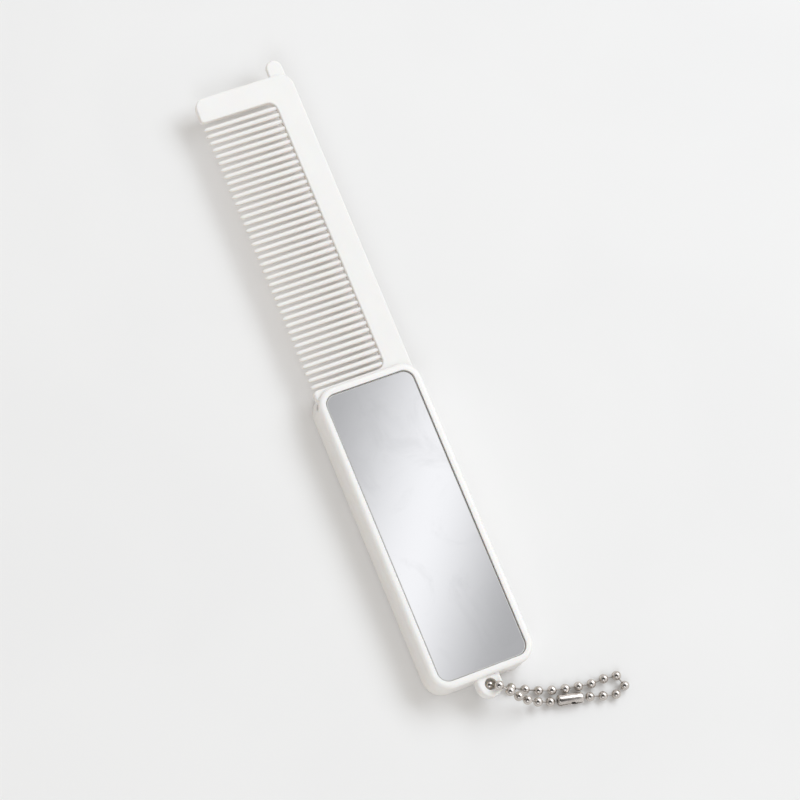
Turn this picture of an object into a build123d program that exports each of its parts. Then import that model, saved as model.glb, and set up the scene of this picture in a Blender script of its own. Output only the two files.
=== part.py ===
# Pocket mirror comb with a sliding blade and a ball chain.
# The case lies on its back: +X is its width, +Y its length towards the comb's tip,
# and +Z points out of the mirror. The origin is the centre of the case's back face.
# The blade is drawn fully pulled out. It slides along -Y into the slot behind the mirror.

from build123d import *
from math import atan2, degrees, sqrt
import os

os.makedirs("parts", exist_ok=True)

# Case, in millimetres
case_width = 27.7
case_length = 80.0
case_depth = 9.0
corner_radius = 5.0
back_edge_radius = 0.8
front_edge_radius = 1.0
face_thickness = 1.5  # between the slot and the case's front

# Rear shell
shell_wall = 1.3
shell_floor = 1.3
rail_spacing = 16.0
rail_width = 1.0
rail_end_gap = 6.0
web_count = 4
web_height = 1.2
web_width = 0.8

# Front frame
skirt_wall = 0.5
end_wall = 1.0
slot_corner_radius = 3.6
mouth_relief = 4.1
frame_border = 1.85
mirror_corner_radius = 3.8
pocket_depth = 0.95

# Mirror
glass_gap = 0.18
glass_thickness = 0.75
glass_bevel = 0.2
tape_thickness = 0.12
tape_margin = 1.8

# Comb blade
blade_thickness = 2.0
blade_rim = 0.3
slide_gap = 0.15
lift_gap = 0.1
guard_height = 6.3
guard_corner_radius = 2.7
tip_corner_radius = 3.5
small_corner_radius = 0.9
spine_width = 6.6
window_radius = 2.2
foot_above_mouth = 0.6
foot_height = 5.4
foot_gap = 0.3  # under the foot when the comb is in
closed_gap = 0.3  # between the guard and the mouth when the comb is in

# Teeth
tooth_pitch = 1.86
tooth_root_width = 1.3
tooth_tip_width = 1.04
tooth_thickness = 1.3
tooth_edge = 0.34
tip_edge = 0.22
first_tooth_drop = 1.7
last_tooth_rise = 1.22
root_depth = 0.8

# Pull nub on the tip
nub_width = 4.2
nub_length = 4.0
nub_thickness = 1.5
nub_inset = 3.15

# Stop block behind the foot, and the click ridges that it snaps over
stop_width = 12.0
stop_length = 2.3
stop_depth = 1.8
stop_gap = 0.2
ridge_width = 0.8
ridge_gap = 0.08

# Lug for the chain
lug_radius = 3.1
lug_hole_radius = 1.5
lug_drop = 2.0
lug_back_layer = 0.9
lug_front_layer = 2.3
lug_rim_radius = 0.5
lug_sink = 0.6

# Ball chain
bead_count = 24
bead_diameter = 2.4
bead_wall = 0.28
bead_hole_radius = 0.32
wire_radius = 0.2
wire_head_radius = 0.42
wire_head_length = 0.2
wire_head_place = 0.46  # from a ball's centre to the face of the head inside it
lead_bead_count = 8  # balls from the lug's hole up to the sleeve, which joins this one to the next
sleeve_length = 6.6
sleeve_radius = 1.4
sleeve_wall = 0.15
sleeve_slot = 0.4
sleeve_neck_radius = 0.55
notch_width = 1.1
notch_length = 1.7

# Sizes that follow from the ones above
case_top = case_length / 2
case_bottom = -case_length / 2
plate_back = case_depth - face_thickness
seam_height = plate_back - blade_thickness - 2 * lift_gap  # where the two shells are welded
pocket_floor = case_depth - pocket_depth
blade_back = seam_height + lift_gap
blade_front = blade_back + blade_thickness
blade_width = case_width - 2 * (skirt_wall + slide_gap)
blade_left = -blade_width / 2
blade_right = blade_width / 2
foot_corner_radius = slot_corner_radius - slide_gap
foot_top = case_top + foot_above_mouth
foot_bottom = foot_top - foot_height
slide_travel = foot_bottom - (case_bottom + end_wall + foot_gap)
guard_foot = case_top + closed_gap + slide_travel
blade_tip = guard_foot + guard_height
spine_inner = blade_right - spine_width
first_tooth = guard_foot - first_tooth_drop
tooth_room = first_tooth - foot_top - last_tooth_rise
tooth_count = 1 + round(tooth_room / tooth_pitch)
stop_top = case_top - shell_wall - stop_gap
stop_back = blade_back - stop_depth
lug_centre = case_bottom - lug_drop
lug_back = seam_height - lug_back_layer
lug_front = seam_height + lug_front_layer
lug_middle = (lug_back + lug_front) / 2
bead_radius = bead_diameter / 2
print(f"slide travel {slide_travel:.2f} mm, {tooth_count} teeth, tip at {blade_tip:.2f} mm")


def finish(part, name):
    """Labels a finished piece and writes its STEP file."""
    part.label = name
    export_step(part, f"parts/{name}.step")


# Rear shell: a shallow tray with two rails that carry the blade, click ridges between
# the rails, and the back half of the chain lug
with BuildPart() as rear_shell:
    with BuildSketch(Plane.XY):
        RectangleRounded(case_width, case_length, corner_radius)
    extrude(amount=seam_height)
    fillet(rear_shell.edges().group_by(Axis.Z)[0], back_edge_radius)
    with BuildSketch(Plane.XY.offset(shell_floor)):
        RectangleRounded(
            case_width - 2 * shell_wall, case_length - 2 * shell_wall, corner_radius - shell_wall
        )
    extrude(amount=seam_height - shell_floor, mode=Mode.SUBTRACT)

    # Rails, long enough to carry the teeth and short of both end walls
    rail_length = case_length - 2 * (shell_wall + rail_end_gap)
    with BuildSketch(Plane.XY.offset(shell_floor)):
        with GridLocations(rail_spacing, 0, 2, 1):
            Rectangle(rail_width, rail_length)
    extrude(amount=seam_height - shell_floor)

    # Low webs that stiffen the floor between the rails
    with BuildSketch(Plane.XY.offset(shell_floor)):
        with GridLocations(0, rail_length / web_count, 1, web_count):
            Rectangle(rail_spacing, web_width)
    extrude(amount=web_height)

    # Click ridges: the stop block rests between a ridge and an end wall
    ridge_top_y = stop_top - stop_length - stop_gap - ridge_width / 2
    ridge_bottom_y = stop_top - slide_travel + stop_gap + ridge_width / 2
    with BuildSketch(Plane.XY.offset(shell_floor)):
        with Locations((0, ridge_top_y), (0, ridge_bottom_y)):
            Rectangle(stop_width, ridge_width)
    extrude(amount=stop_back - ridge_gap - shell_floor)

    # Back half of the lug
    with BuildSketch(Plane.XY.offset(lug_back)):
        with Locations((0, lug_centre)):
            Circle(lug_radius)
            Rectangle(2 * lug_radius, lug_drop + lug_sink, align=(Align.CENTER, Align.MIN))
    extrude(amount=seam_height - lug_back)
    with Locations(Plane.XY.offset(lug_middle)):
        with Locations((0, lug_centre)):
            Hole(lug_hole_radius, depth=2 * (lug_front - lug_back))
finish(rear_shell.part, "rear_shell")

# Front frame: the face plate with the mirror's pocket, thin skirts beside the slot,
# and the front half of the lug. The slot's mouth runs round both top corners.
with BuildPart() as front_frame:
    with BuildSketch(Plane.XY.offset(seam_height)):
        RectangleRounded(case_width, case_length, corner_radius)
    extrude(amount=case_depth - seam_height)
    fillet(front_frame.edges().group_by(Axis.Z)[-1], front_edge_radius)
    with BuildSketch(Plane.XY.offset(pocket_floor)):
        RectangleRounded(
            case_width - 2 * frame_border, case_length - 2 * frame_border, mirror_corner_radius
        )
    extrude(amount=pocket_depth, mode=Mode.SUBTRACT)

    # The slot, closed at its sides and bottom and open at the top. Its bottom corners
    # follow the case's, so that they stay inside its wall.
    with BuildSketch(Plane.XY.offset(seam_height)) as slot:
        with Locations((0, case_bottom + end_wall)):
            Rectangle(
                case_width - 2 * skirt_wall, case_length, align=(Align.CENTER, Align.MIN)
            )
        fillet(slot.vertices().group_by(Axis.Y)[0], slot_corner_radius)
    extrude(amount=plate_back - seam_height, mode=Mode.SUBTRACT)
    with BuildSketch(Plane.XY.offset(seam_height)):
        with Locations((0, case_top)):
            Rectangle(case_width, 2 * mouth_relief)
    extrude(amount=plate_back - seam_height, mode=Mode.SUBTRACT)

    # Front half of the lug, with a rounded rim
    with BuildSketch(Plane.XY.offset(seam_height)):
        with Locations((0, lug_centre)):
            Circle(lug_radius)
            Rectangle(2 * lug_radius, lug_drop + lug_sink, align=(Align.CENTER, Align.MIN))
    extrude(amount=lug_front - seam_height)
    lug_rim = (
        front_frame.edges()
        .filter_by_position(Axis.Z, lug_front - 0.01, lug_front + 0.01)
        .filter_by_position(Axis.Y, lug_centre - lug_radius, case_bottom - 0.01)
        .sort_by(Axis.Y)[0:3]
    )
    fillet(lug_rim, lug_rim_radius)
    with Locations(Plane.XY.offset(lug_middle)):
        with Locations((0, lug_centre)):
            Hole(lug_hole_radius, depth=2 * (lug_front - lug_back))
finish(front_frame.part, "front_frame")

# Mirror glass and the tape that holds it
pocket_width = case_width - 2 * frame_border
pocket_length = case_length - 2 * frame_border
with BuildPart() as mirror_tape:
    with BuildSketch(Plane.XY.offset(pocket_floor)):
        Rectangle(pocket_width - 2 * tape_margin, pocket_length - 2 * tape_margin)
    extrude(amount=tape_thickness)
finish(mirror_tape.part, "mirror_tape")

with BuildPart() as mirror_glass:
    with BuildSketch(Plane.XY.offset(pocket_floor + tape_thickness)):
        RectangleRounded(
            pocket_width - 2 * glass_gap, pocket_length - 2 * glass_gap, mirror_corner_radius - glass_gap
        )
    extrude(amount=glass_thickness)
    chamfer(mirror_glass.edges().group_by(Axis.Z)[-1], glass_bevel)
finish(mirror_glass.part, "mirror_glass")

# One tooth: an eight-sided pin that tapers to a blunt tip. Its root is sunk into the spine.
tooth_length = spine_inner + root_depth - blade_left
tooth_taper = degrees(atan2((tooth_root_width - tooth_tip_width) / 2, tooth_length))
root_plane = Plane(
    origin=(spine_inner + root_depth, 0, blade_back + blade_thickness / 2),
    x_dir=(0, 1, 0),
    z_dir=(-1, 0, 0),
)
with BuildPart() as tooth:
    with BuildSketch(root_plane) as tooth_section:
        Rectangle(tooth_root_width, tooth_thickness)
        chamfer(tooth_section.vertices(), tooth_edge)
    extrude(amount=tooth_length, taper=tooth_taper)
    chamfer(tooth.faces().sort_by(Axis.X)[0].edges(), tip_edge)

# Comb blade: foot, spine, guard, nub and teeth in one moulding
with BuildPart() as comb_blade:
    with BuildSketch(Plane.XY.offset(blade_back)) as outline:
        with Locations((0, foot_bottom)):
            Rectangle(blade_width, blade_tip - foot_bottom, align=(Align.CENTER, Align.MIN))
        top_corners = outline.vertices().group_by(Axis.Y)[-1].sort_by(Axis.X)
        fillet(top_corners[0], guard_corner_radius)
        fillet(top_corners[-1], tip_corner_radius)
        fillet(outline.vertices().group_by(Axis.Y)[0], foot_corner_radius)
        with Locations((spine_inner, foot_top)):
            Rectangle(
                blade_width, guard_foot - foot_top, align=(Align.MAX, Align.MIN), mode=Mode.SUBTRACT
            )
        inner_corners = outline.vertices().filter_by_position(
            Axis.X, spine_inner - 0.01, spine_inner + 0.01
        )
        fillet(inner_corners, window_radius)
        left_corners = (
            outline.vertices()
            .filter_by_position(Axis.X, blade_left - 0.01, blade_left + 0.01)
            .filter_by_position(Axis.Y, foot_top - 0.01, guard_foot + 0.01)
        )
        fillet(left_corners, small_corner_radius)
    extrude(amount=blade_thickness)
    flat_edges = comb_blade.edges().group_by(Axis.Z)
    chamfer(flat_edges[0] + flat_edges[-1], blade_rim)

    # Nub, a little thinner than the guard
    with BuildSketch(Plane.XY.offset(blade_back + (blade_thickness - nub_thickness) / 2)):
        with Locations((blade_right - nub_inset, blade_tip + nub_length - nub_width / 2)):
            Circle(nub_width / 2)
            Rectangle(nub_width, nub_length, align=(Align.CENTER, Align.MAX))
    extrude(amount=nub_thickness)

    # Stop block on the back of the foot
    with BuildSketch(Plane.XY.offset(stop_back)):
        with Locations((0, stop_top)):
            Rectangle(stop_width, stop_length, align=(Align.CENTER, Align.MAX))
    extrude(amount=stop_depth + blade_thickness / 2)

    with Locations(*[(0, first_tooth - row * tooth_pitch) for row in range(tooth_count)]):
        add(tooth.part)
finish(comb_blade.part, "comb_blade")

# The chain's route, from the hole in the lug, over its rim to the table, round the loop
# and back under the lug. The points guide a smooth curve that starts and ends on them.
table_rest = bead_radius + 0.05
chain_points = [
    (0.0, -42.0, 6.0),
    (0.9, -42.7, 9.3),
    (3.2, -45.0, 8.6),
    (6.2, -47.4, 5.6),
    (9.6, -49.2, 2.9),
    (13.6, -50.6, 1.45),
    (18.0, -51.5, 1.5),
    (23.0, -52.6, 1.45),
    (26.8, -53.7, 1.25),
    (30.6, -54.9, 1.25),
    (34.0, -54.5, 1.25),
    (34.0, -50.6, 1.25),
    (30.2, -50.0, 1.25),
    (26.4, -50.3, 1.25),
    (22.6, -49.6, 1.25),
    (17.2, -48.6, 1.25),
    (12.2, -47.0, 1.25),
    (8.0, -44.8, 1.25),
    (4.2, -42.9, 1.25),
    (0.0, -42.0, 1.5),
    (0.0, -42.0, 6.0),
]


def halfway(first, second):
    """Gives the middle of two points."""
    return tuple((a + b) / 2 for a, b in zip(first, second))


with BuildLine() as chain_route:
    start = chain_points[0]
    for turn, after in zip(chain_points[1:-1], chain_points[2:]):
        end = after if after is chain_points[-1] else halfway(turn, after)
        Bezier(start, turn, end)
        start = end
route = chain_route.wires()[0]
bead_pitch = route.length / bead_count
bead_centres = [
    route.position_at(bead * bead_pitch, position_mode=PositionMode.LENGTH)
    for bead in range(bead_count)
]
print(f"chain {route.length:.1f} mm, one bead each {bead_pitch:.2f} mm")

# A ball is a hollow shell with 26 flats inside its round size, so that it stays light
flat_share = (1 + sqrt(2)) / sqrt(5 + 2 * sqrt(2))
ball_flat = bead_diameter * flat_share
ball_chamfer = ball_flat * (1 - 1 / (1 + sqrt(2))) / 2
core_flat = ball_flat - 2 * bead_wall
core_chamfer = core_flat * (1 - 1 / (1 + sqrt(2))) / 2
with BuildPart() as ball:
    Box(ball_flat, ball_flat, ball_flat)
    chamfer(ball.edges(), ball_chamfer)
with BuildPart() as ball_core:
    Box(core_flat, core_flat, core_flat)
    chamfer(ball_core.edges(), core_chamfer)

# Each ball has a hole towards each neighbour that a wire joins it to
for bead, centre in enumerate(bead_centres):
    before = bead_centres[bead - 1]
    after = bead_centres[(bead + 1) % bead_count]
    number = bead + 1
    with BuildPart() as chain_bead:
        with Locations(Plane(origin=centre, z_dir=after - before)):
            add(ball.part)
            add(ball_core.part, mode=Mode.SUBTRACT)
        if number != lead_bead_count:
            with BuildSketch(Plane(origin=centre, z_dir=after - centre)):
                RegularPolygon(bead_hole_radius, 4)
            extrude(amount=bead_diameter, mode=Mode.SUBTRACT)
        if number != lead_bead_count + 1:
            with BuildSketch(Plane(origin=centre, z_dir=before - centre)):
                RegularPolygon(bead_hole_radius, 4)
            extrude(amount=bead_diameter, mode=Mode.SUBTRACT)
    finish(chain_bead.part, f"chain_bead_{number:02d}")

# A wire link joins two balls, with a head inside each
for bead, centre in enumerate(bead_centres):
    number = bead + 1
    if number == lead_bead_count:
        continue
    after = bead_centres[(bead + 1) % bead_count]
    along = after - centre
    reach = along.length / 2 - wire_head_place
    middle = Plane(origin=(centre + after) / 2, z_dir=along)
    with BuildPart() as chain_link:
        with BuildSketch(middle):
            RegularPolygon(wire_radius, 6)
        extrude(amount=reach, both=True)
        for direction in (1, -1):
            head = Plane(
                origin=middle.origin + middle.z_dir * direction * (reach - wire_head_length),
                z_dir=middle.z_dir * direction,
            )
            with BuildSketch(head):
                RegularPolygon(wire_head_radius, 6)
            extrude(amount=wire_head_length)
    finish(chain_link.part, f"chain_link_{number:02d}")

# The sleeve holds the chain's two end balls. It is rolled from sheet, so it is open
# along one side, with a notch beside its middle, and its ends are necked in.
sleeve_start = bead_centres[lead_bead_count - 1]
sleeve_end = bead_centres[lead_bead_count]
sleeve_plane = Plane(
    origin=(sleeve_start + sleeve_end) / 2, x_dir=(0, -1, 0.6), z_dir=sleeve_end - sleeve_start
)
with BuildPart() as chain_sleeve:
    with BuildSketch(sleeve_plane):
        Circle(sleeve_radius)
    extrude(amount=sleeve_length / 2, both=True)
    with BuildSketch(sleeve_plane):
        Circle(sleeve_radius - sleeve_wall)
    extrude(amount=sleeve_length / 2 - sleeve_wall, both=True, mode=Mode.SUBTRACT)
    with BuildSketch(sleeve_plane):
        Circle(sleeve_neck_radius)
    extrude(amount=sleeve_length, both=True, mode=Mode.SUBTRACT)
    with BuildSketch(sleeve_plane):
        Rectangle(2 * sleeve_radius, sleeve_slot, align=(Align.MIN, Align.CENTER))
    extrude(amount=sleeve_length, both=True, mode=Mode.SUBTRACT)
    with BuildSketch(sleeve_plane):
        Rectangle(2 * sleeve_radius, notch_width, align=(Align.MIN, Align.CENTER))
    extrude(amount=notch_length, mode=Mode.SUBTRACT)
finish(chain_sleeve.part, "chain_sleeve")
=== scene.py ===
"""Pocket mirror comb: a white case with a mirror in its front, a comb that slides out of its
top end, and a ball chain through the lug at its bottom end.

The frame is the CAD's: +X is the case's width, +Y its length towards the comb's tip, and +Z
points out of the mirror. The sizes of the case, the comb, the chain's parts and the finishes are
in millimetres, and turn into metres where a mesh or a material is made. The chain's route and
length, the lamps, the table and the camera's place are in metres.
"""

from __future__ import annotations

import logging
import math
from collections.abc import Sequence
from dataclasses import dataclass, field, replace
from enum import Enum
from typing import Any, ClassVar

import bmesh
import bpy
from mathutils import Matrix, Vector

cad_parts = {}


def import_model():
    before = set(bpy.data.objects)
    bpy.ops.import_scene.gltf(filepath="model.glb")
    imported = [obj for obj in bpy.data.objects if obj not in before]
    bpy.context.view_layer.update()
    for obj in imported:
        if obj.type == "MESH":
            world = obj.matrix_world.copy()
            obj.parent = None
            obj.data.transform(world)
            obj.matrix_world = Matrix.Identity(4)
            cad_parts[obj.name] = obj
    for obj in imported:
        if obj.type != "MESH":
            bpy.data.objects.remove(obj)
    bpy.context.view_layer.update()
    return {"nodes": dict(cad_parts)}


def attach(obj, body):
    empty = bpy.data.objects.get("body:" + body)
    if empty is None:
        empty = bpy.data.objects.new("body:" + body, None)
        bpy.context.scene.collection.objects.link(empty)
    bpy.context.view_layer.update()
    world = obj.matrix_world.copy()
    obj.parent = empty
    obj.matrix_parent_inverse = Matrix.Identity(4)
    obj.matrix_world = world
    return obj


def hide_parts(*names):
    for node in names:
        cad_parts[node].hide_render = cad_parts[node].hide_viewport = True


LOG = logging.getLogger("mirror_comb")
MM = 0.001
WELD = 1e-6  # points nearer than this, in metres, are one
FLAT_ANGLE = 0.3  # faces within this many degrees are one
CLOSE = 0.01  # slack in telling where a point is, in millimetres
Colour = tuple[float, float, float]
Pair = tuple[float, float]
Point = tuple[float, float, float]


class Crease(Enum):
    """The turn, in degrees, past which an edge counts as one and is rounded."""

    MOULDED = 30.0
    GROUND = 12.0
    ROLLED = 40.0

    @property
    def angle(self) -> float:
        """The angle in radians."""
        return math.radians(self.value)


class Body(Enum):
    """The CAD bodies that pieces ride on."""

    CASE = "case"
    COMB = "comb"


class Slot(Enum):
    """The record's material slots, by name."""

    PLASTIC = "white_plastic"
    MIRROR = "mirror_glass"
    STEEL = "nickel_steel"


# Node trees and meshes


@dataclass(frozen=True)
class Wiring:
    """Places nodes in one tree and joins their sockets."""

    tree: bpy.types.NodeTree

    def add(
        self, kind: str, inputs: dict[int | str, Any] | None = None, **settings: Any
    ) -> bpy.types.Node:
        """Adds a node.

        Args:
            kind: The node's type name.
            inputs: A value or a socket to join for each input, by name or place.
            settings: The node's own properties.

        Returns:
            The new node.
        """
        node = self.tree.nodes.new(kind)
        for key, value in settings.items():
            setattr(node, key, value)
        for key, value in (inputs or {}).items():
            self.feed(node.inputs[key], value)
        return node

    def out(
        self, kind: str, inputs: dict[int | str, Any] | None = None, **settings: Any
    ) -> bpy.types.NodeSocket:
        """Adds a node and gives its first output."""
        return self.add(kind, inputs, **settings).outputs[0]

    def feed(self, socket: bpy.types.NodeSocket, value: Any) -> None:
        """Joins a socket to an input, or sets the input's own value.

        Args:
            socket: The input.
            value: A socket to join, or a plain value.
        """
        if isinstance(value, bpy.types.NodeSocket):
            self.tree.links.new(value, socket)
        else:
            socket.default_value = value

    def math(self, operation: str, *values: Any) -> bpy.types.NodeSocket:
        """Adds a Math node.

        Args:
            operation: The node's operation.
            values: Its inputs, as numbers or sockets.

        Returns:
            Its output.
        """
        return self.out("ShaderNodeMath", dict(enumerate(values)), operation=operation)

    def ramp(
        self, value: Any, lowest: float, highest: float, start: float, end: float
    ) -> bpy.types.NodeSocket:
        """Maps a value's range onto another, smoothly and without running past its ends.

        Args:
            value: The socket to map.
            lowest: The value that gives start.
            highest: The value that gives end.
            start: The result at and below lowest.
            end: The result at and above highest.

        Returns:
            The output socket.
        """
        return self.out(
            "ShaderNodeMapRange",
            {0: value, 1: lowest, 2: highest, 3: start, 4: end},
            interpolation_type="SMOOTHSTEP",
        )

    def mix(self, factor: Any, first: Any, second: Colour) -> bpy.types.NodeSocket:
        """Mixes two colours.

        Args:
            factor: How much of the second shows.
            first: A colour or socket.
            second: A colour.

        Returns:
            The mixed colour's socket.
        """
        start = rgba(first) if isinstance(first, tuple) else first
        node = self.add("ShaderNodeMix", {0: factor, 6: start, 7: rgba(second)}, data_type="RGBA")
        return node.outputs[2]


def rgba(colour: Colour) -> tuple[float, float, float, float]:
    """Gives a colour its alpha."""
    return (*colour, 1.0)


def new_tree(name: str, inputs: dict[str, str]) -> tuple[Wiring, Any]:
    """Starts a Geometry Nodes tree that takes and gives one geometry.

    Args:
        name: The tree's name.
        inputs: The socket type of each named input after the geometry.

    Returns:
        The tree's wiring and the values of its inputs.
    """
    tree = bpy.data.node_groups.new(name, "GeometryNodeTree")
    tree.interface.new_socket("Geometry", in_out="INPUT", socket_type="NodeSocketGeometry")
    for label, kind in inputs.items():
        tree.interface.new_socket(label, in_out="INPUT", socket_type=kind)
    tree.interface.new_socket("Geometry", in_out="OUTPUT", socket_type="NodeSocketGeometry")
    wiring = Wiring(tree)
    return wiring, wiring.add("NodeGroupInput").outputs


def close_tree(
    wiring: Wiring, geometry: bpy.types.NodeSocket, finish: Any, *others: tuple[str, Any]
) -> None:
    """Ends a tree in Realize Instances and Set Material.

    Args:
        wiring: The tree's wiring.
        geometry: What the tree has made.
        finish: The material, or its input socket.
        others: The name of each mark on faces that have another material, and that material.
    """
    geometry = wiring.out("GeometryNodeRealizeInstances", {0: geometry})
    geometry = wiring.out("GeometryNodeSetShadeSmooth", {0: geometry, 2: True})
    geometry = wiring.out("GeometryNodeSetMaterial", {0: geometry, 2: finish})
    for mark, other in others:
        marked = wiring.out("GeometryNodeInputNamedAttribute", {0: mark}, data_type="BOOLEAN")
        geometry = wiring.out("GeometryNodeSetMaterial", {0: geometry, 1: marked, 2: other})
    wiring.add("NodeGroupOutput", {0: geometry})


def place(name: str, mesh: bpy.types.Mesh) -> bpy.types.Object:
    """Puts a mesh in the scene, its place in its vertices.

    Args:
        name: The piece's name.
        mesh: Its mesh, in metres.

    Returns:
        The new object.
    """
    piece = bpy.data.objects.new(name, mesh)
    bpy.context.scene.collection.objects.link(piece)
    return piece


def settle(name: str, shape: bmesh.types.BMesh) -> bpy.types.Object:
    """Makes a piece of a shape, which is freed.

    Args:
        name: The piece's name.
        shape: The shape, in metres.

    Returns:
        The new object.
    """
    mesh = bpy.data.meshes.new(name)
    shape.to_mesh(mesh)
    shape.free()
    return place(name, mesh)


def bake(piece: bpy.types.Object) -> None:
    """Turns a piece's modifiers into its mesh and removes them.

    Args:
        piece: The object.
    """
    graph = bpy.context.evaluated_depsgraph_get()
    done = bpy.data.meshes.new_from_object(
        piece.evaluated_get(graph), preserve_all_data_layers=True, depsgraph=graph
    )
    piece.modifiers.clear()
    piece.data = done


def grow(piece: bpy.types.Object, tree: bpy.types.NodeTree, values: dict[str, Any]) -> None:
    """Runs a Geometry Nodes tree on a piece and keeps the plain mesh that it makes.

    Args:
        piece: The object whose mesh goes in.
        tree: The tree.
        values: The value of each named input.
    """
    modifier = piece.modifiers.new(tree.name, "NODES")
    modifier.node_group = tree
    for item in tree.interface.items_tree:
        if item.item_type == "SOCKET" and item.in_out == "INPUT" and item.name in values:
            modifier[item.identifier] = values[item.name]
    bake(piece)


def soften(piece: bpy.types.Object, width: float, segments: int, crease: Crease) -> None:
    """Rounds a piece's edges and evens its shading.

    Args:
        piece: The object. The modifiers that it has already run first.
        width: The rounding's width in millimetres.
        segments: Its steps.
        crease: Which edges are rounded.
    """
    for polygon in piece.data.polygons:
        polygon.use_smooth = True
    bevel = piece.modifiers.new("rounded edges", "BEVEL")
    bevel.width = width * MM
    bevel.segments = segments
    bevel.limit_method = "ANGLE"
    bevel.angle_limit = crease.angle
    bevel.use_clamp_overlap = False
    bevel.miter_outer = "MITER_ARC"
    even = piece.modifiers.new("even shading", "WEIGHTED_NORMAL")
    even.keep_sharp = True
    even.weight = 100  # so that the large faces lead
    bake(piece)


@dataclass(frozen=True)
class Corner:
    """A right-angled corner of an outline, in millimetres."""

    x: float
    y: float
    radius: float = 0.0


def rounded_outline(corners: Sequence[Corner], steps: int = 9) -> list[Vector]:
    """Rounds each right-angled corner of a closed outline.

    Args:
        corners: The corners in order.
        steps: The straight pieces in each rounding.

    Returns:
        The outline's points, in millimetres.
    """
    points: list[Vector] = []
    for place_in_line, corner in enumerate(corners):
        before = corners[place_in_line - 1]
        after = corners[(place_in_line + 1) % len(corners)]
        tip = Vector((corner.x, corner.y))
        if not corner.radius:
            points.append(tip)
            continue
        back = (Vector((before.x, before.y)) - tip).normalized()
        onward = (Vector((after.x, after.y)) - tip).normalized()
        centre = tip + (back + onward) * corner.radius
        for step in range(steps + 1):
            turn = math.pi / 2 * step / steps
            arc = onward * math.cos(turn) + back * math.sin(turn)
            points.append(centre - arc * corner.radius)
    return points


def slab(name: str, outline: Sequence[Vector], bottom: float, top: float) -> bpy.types.Object:
    """Makes a flat piece of one thickness.

    Args:
        name: The piece's name.
        outline: Its outline, anticlockwise from above, in millimetres.
        bottom: The height of its underside.
        top: The height of its upper side.

    Returns:
        The new object.
    """
    shape = bmesh.new()
    lower = [shape.verts.new((p.x * MM, p.y * MM, bottom * MM)) for p in outline]
    upper = [shape.verts.new((p.x * MM, p.y * MM, top * MM)) for p in outline]
    shape.faces.new(upper)
    shape.faces.new(lower[::-1])
    for here in range(len(outline)):
        after = (here + 1) % len(outline)
        shape.faces.new((lower[here], lower[after], upper[after], upper[here]))
    return settle(name, shape)


def refined_copy(source: bpy.types.Object, name: str) -> bpy.types.Object:
    """Copies a CAD node as a joined mesh whose flat faces are whole again.

    Args:
        source: The CAD node's object.
        name: The new piece's name.

    Returns:
        The new object.
    """
    shape = bmesh.new()
    shape.from_mesh(source.data)
    bmesh.ops.remove_doubles(shape, verts=shape.verts, dist=WELD)
    bmesh.ops.dissolve_limit(
        shape, angle_limit=math.radians(FLAT_ANGLE), verts=shape.verts, edges=shape.edges
    )
    return settle(name, shape)


def dress(
    piece: bpy.types.Object,
    finish: bpy.types.Material | None,
    slot: Slot,
    body: Body,
    *nodes: str,
) -> None:
    """Gives a piece its material and its part in the frame.

    Args:
        piece: The piece.
        finish: Its material, or None where its node tree has set it.
        slot: The record's slot for it; not used.
        body: The body it rides on.
        nodes: The CAD nodes it stands for.
    """
    if finish:
        piece.data.materials.clear()
        piece.data.materials.append(finish)
    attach(piece, body.value)
    if nodes:
        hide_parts(*nodes)
    LOG.info("%s: %d faces, on %s", piece.name, len(piece.data.polygons), body.value)


# Finishes


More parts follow.
